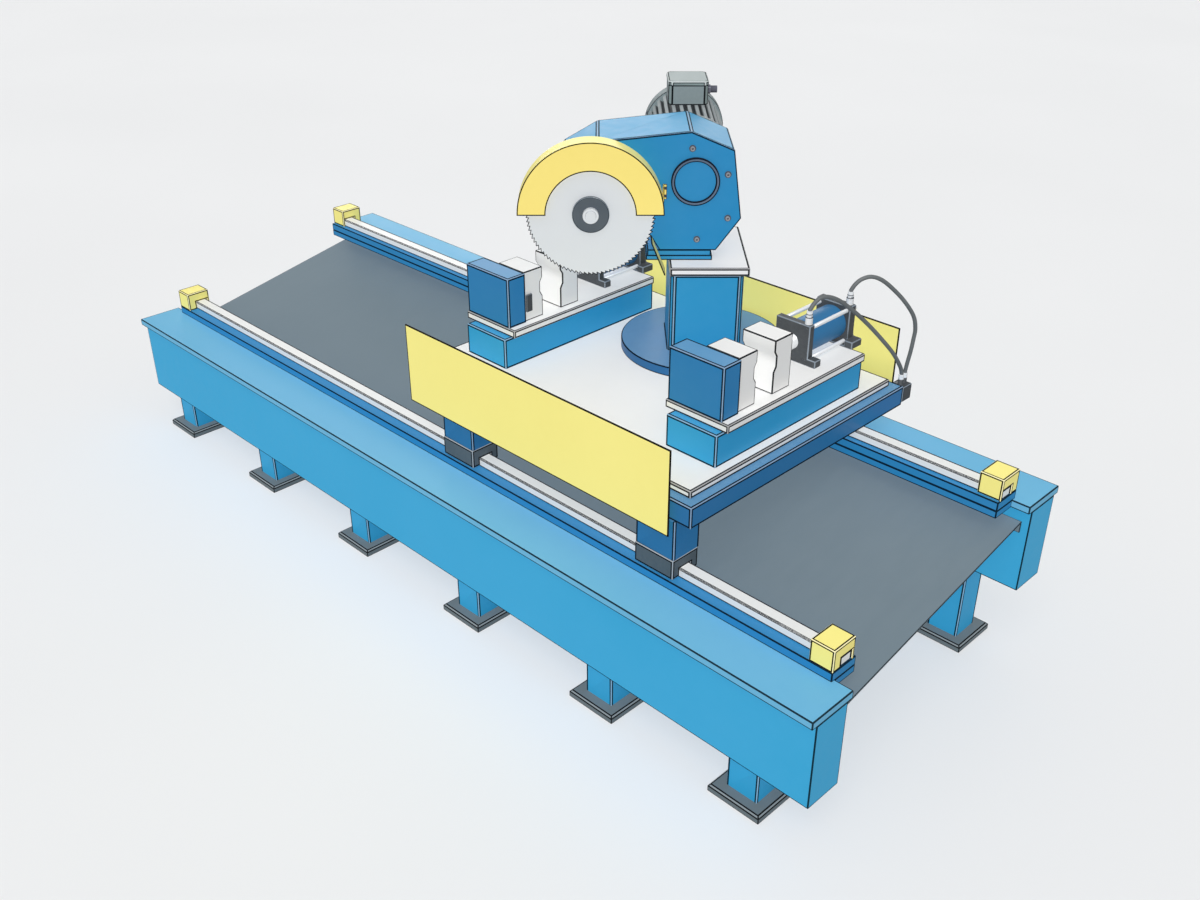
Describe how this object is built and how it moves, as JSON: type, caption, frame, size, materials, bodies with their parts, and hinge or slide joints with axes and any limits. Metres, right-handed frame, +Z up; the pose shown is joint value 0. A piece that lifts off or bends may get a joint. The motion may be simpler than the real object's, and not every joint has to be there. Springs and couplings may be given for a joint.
{
  "type": "travelling cold saw",
  "caption": "Cold circular saw on a swivelling column; its carriage with two hydraulic vises travels along a long two-beam bed with a sloping chip tray.",
  "frame": {"origin": "on the floor plane below the middle of the bed, half way between the two beams and between their ends", "axes": "+X along the bed towards the end that the right vise faces, +Y across the bed from the low near beam to the high far beam, +Z up"},
  "size_m": [4.2, 1.7699, 1.8995],
  "materials": {
    "beam_blue": "satin paint",
    "flange_blue": "satin paint",
    "deep_blue": "satin paint",
    "vise_blue": "satin paint",
    "head_blue": "satin paint",
    "guard_yellow": "satin paint",
    "white_paint": "satin paint",
    "rail_steel": "ground",
    "foot_grey": "satin paint",
    "tray_grey": "satin paint",
    "dark_iron": "painted, matt",
    "motor_grey": "painted, satin",
    "lid_grey": "satin paint",
    "gland_plastic": "matt",
    "hose_rubber": "matt",
    "blade_steel": "ground",
    "bright_rod": "polished",
    "shaft_steel": "turned"
  },
  "bodies": {
    "bed": {"near_beam": "beam_blue", "far_beam": "beam_blue", "beam_flanges": "flange_blue", "lower_plates": "deep_blue", "upper_plates": "deep_blue", "rails": "rail_steel", "end_stops": "guard_yellow", "legs": "beam_blue", "foot_plates": "foot_grey", "chip_tray": "tray_grey"},
    "carriage": {"carriage_frame": "deep_blue", "carriage_table": "white_paint", "near_posts": "deep_blue", "far_posts": "deep_blue", "bearing_blocks": "dark_iron", "near_guard": "guard_yellow", "far_guard": "guard_yellow", "guard_spacers": "dark_iron", "vise_bases": "vise_blue", "slide_plates": "white_paint", "fixed_jaws": "deep_blue", "jaw_inserts": "white_paint", "jaw_key": "dark_iron", "cylinder_heads": "dark_iron", "cylinder_barrels": "vise_blue", "tie_rods": "white_paint", "port_fittings": "bright_rod", "hose_front": "hose_rubber", "hose_rear": "hose_rubber", "hose_block": "dark_iron"},
    "left_clamp": {"left_jaw": "white_paint", "left_piston": "bright_rod"},
    "right_clamp": {"right_jaw": "white_paint", "right_piston": "bright_rod"},
    "swivel": {"turntable": "deep_blue", "swivel_hub": "dark_iron", "hold_down_ring": "dark_iron", "guide_post": "rail_steel", "feed_barrel": "vise_blue"},
    "head": {"column": "beam_blue", "column_cap": "white_paint", "feed_piston": "bright_rod", "sole_plates": "deep_blue", "gear_housing": "head_blue", "housing_plate": "head_blue", "round_cover": "head_blue", "housing_bolts": "dark_iron", "blade_guard": "guard_yellow", "deflector": "guard_yellow", "motor_body": "motor_grey", "fan_cowl": "motor_grey", "terminal_box": "motor_grey", "terminal_lid": "lid_grey", "cable_gland": "gland_plastic"},
    "blade": {"saw_blade": "blade_steel", "blade_flange": "dark_iron", "spindle_nut": "blade_steel", "spindle": "shaft_steel"},
    "rotor": {"motor_shaft": "shaft_steel"},
    "idler": {"idler_gear": "shaft_steel"}
  },
  "joints": [
    {"name": "carriage_travel", "type": "slide", "parent": "bed", "child": "carriage", "axis": [1, 0, 0], "range_m": [-1.83, 0.517]},
    {"name": "left_clamping", "type": "slide", "parent": "carriage", "child": "left_clamp", "axis": [0, 1, 0], "range_m": [-0.08, 0.1]},
    {"name": "right_clamping", "type": "slide", "parent": "carriage", "child": "right_clamp", "axis": [0, 1, 0], "range_m": [-0.08, 0.1]},
    {"name": "column_swivel", "type": "hinge", "parent": "carriage", "child": "swivel", "pos_m": [0.64285, 0.414, 0.9335], "axis": [0, 0, 1], "range_deg": [0, 45]},
    {"name": "head_feed", "type": "slide", "parent": "swivel", "child": "head", "axis": [0, 0, 1], "range_m": [-0.13, 0]},
    {"name": "blade_spin", "type": "hinge", "parent": "head", "child": "blade", "pos_m": [0.32288, 0.09403, 1.537], "axis": [0.7071, -0.7071, 0], "continuous": true},
    {"name": "rotor_spin", "type": "hinge", "parent": "head", "child": "rotor", "pos_m": [0.60431, 0.37546, 1.644], "axis": [0.7071, -0.7071, 0], "continuous": true},
    {"name": "idler_spin", "type": "hinge", "parent": "head", "child": "idler", "pos_m": [0.47117, 0.24233, 1.61851], "axis": [0.7071, -0.7071, 0], "continuous": true}
  ],
  "couplings": [
    {"joint": "rotor_spin", "follows": "blade_spin", "ratio": 2},
    {"joint": "idler_spin", "follows": "blade_spin", "ratio": -0.45161}
  ]
}
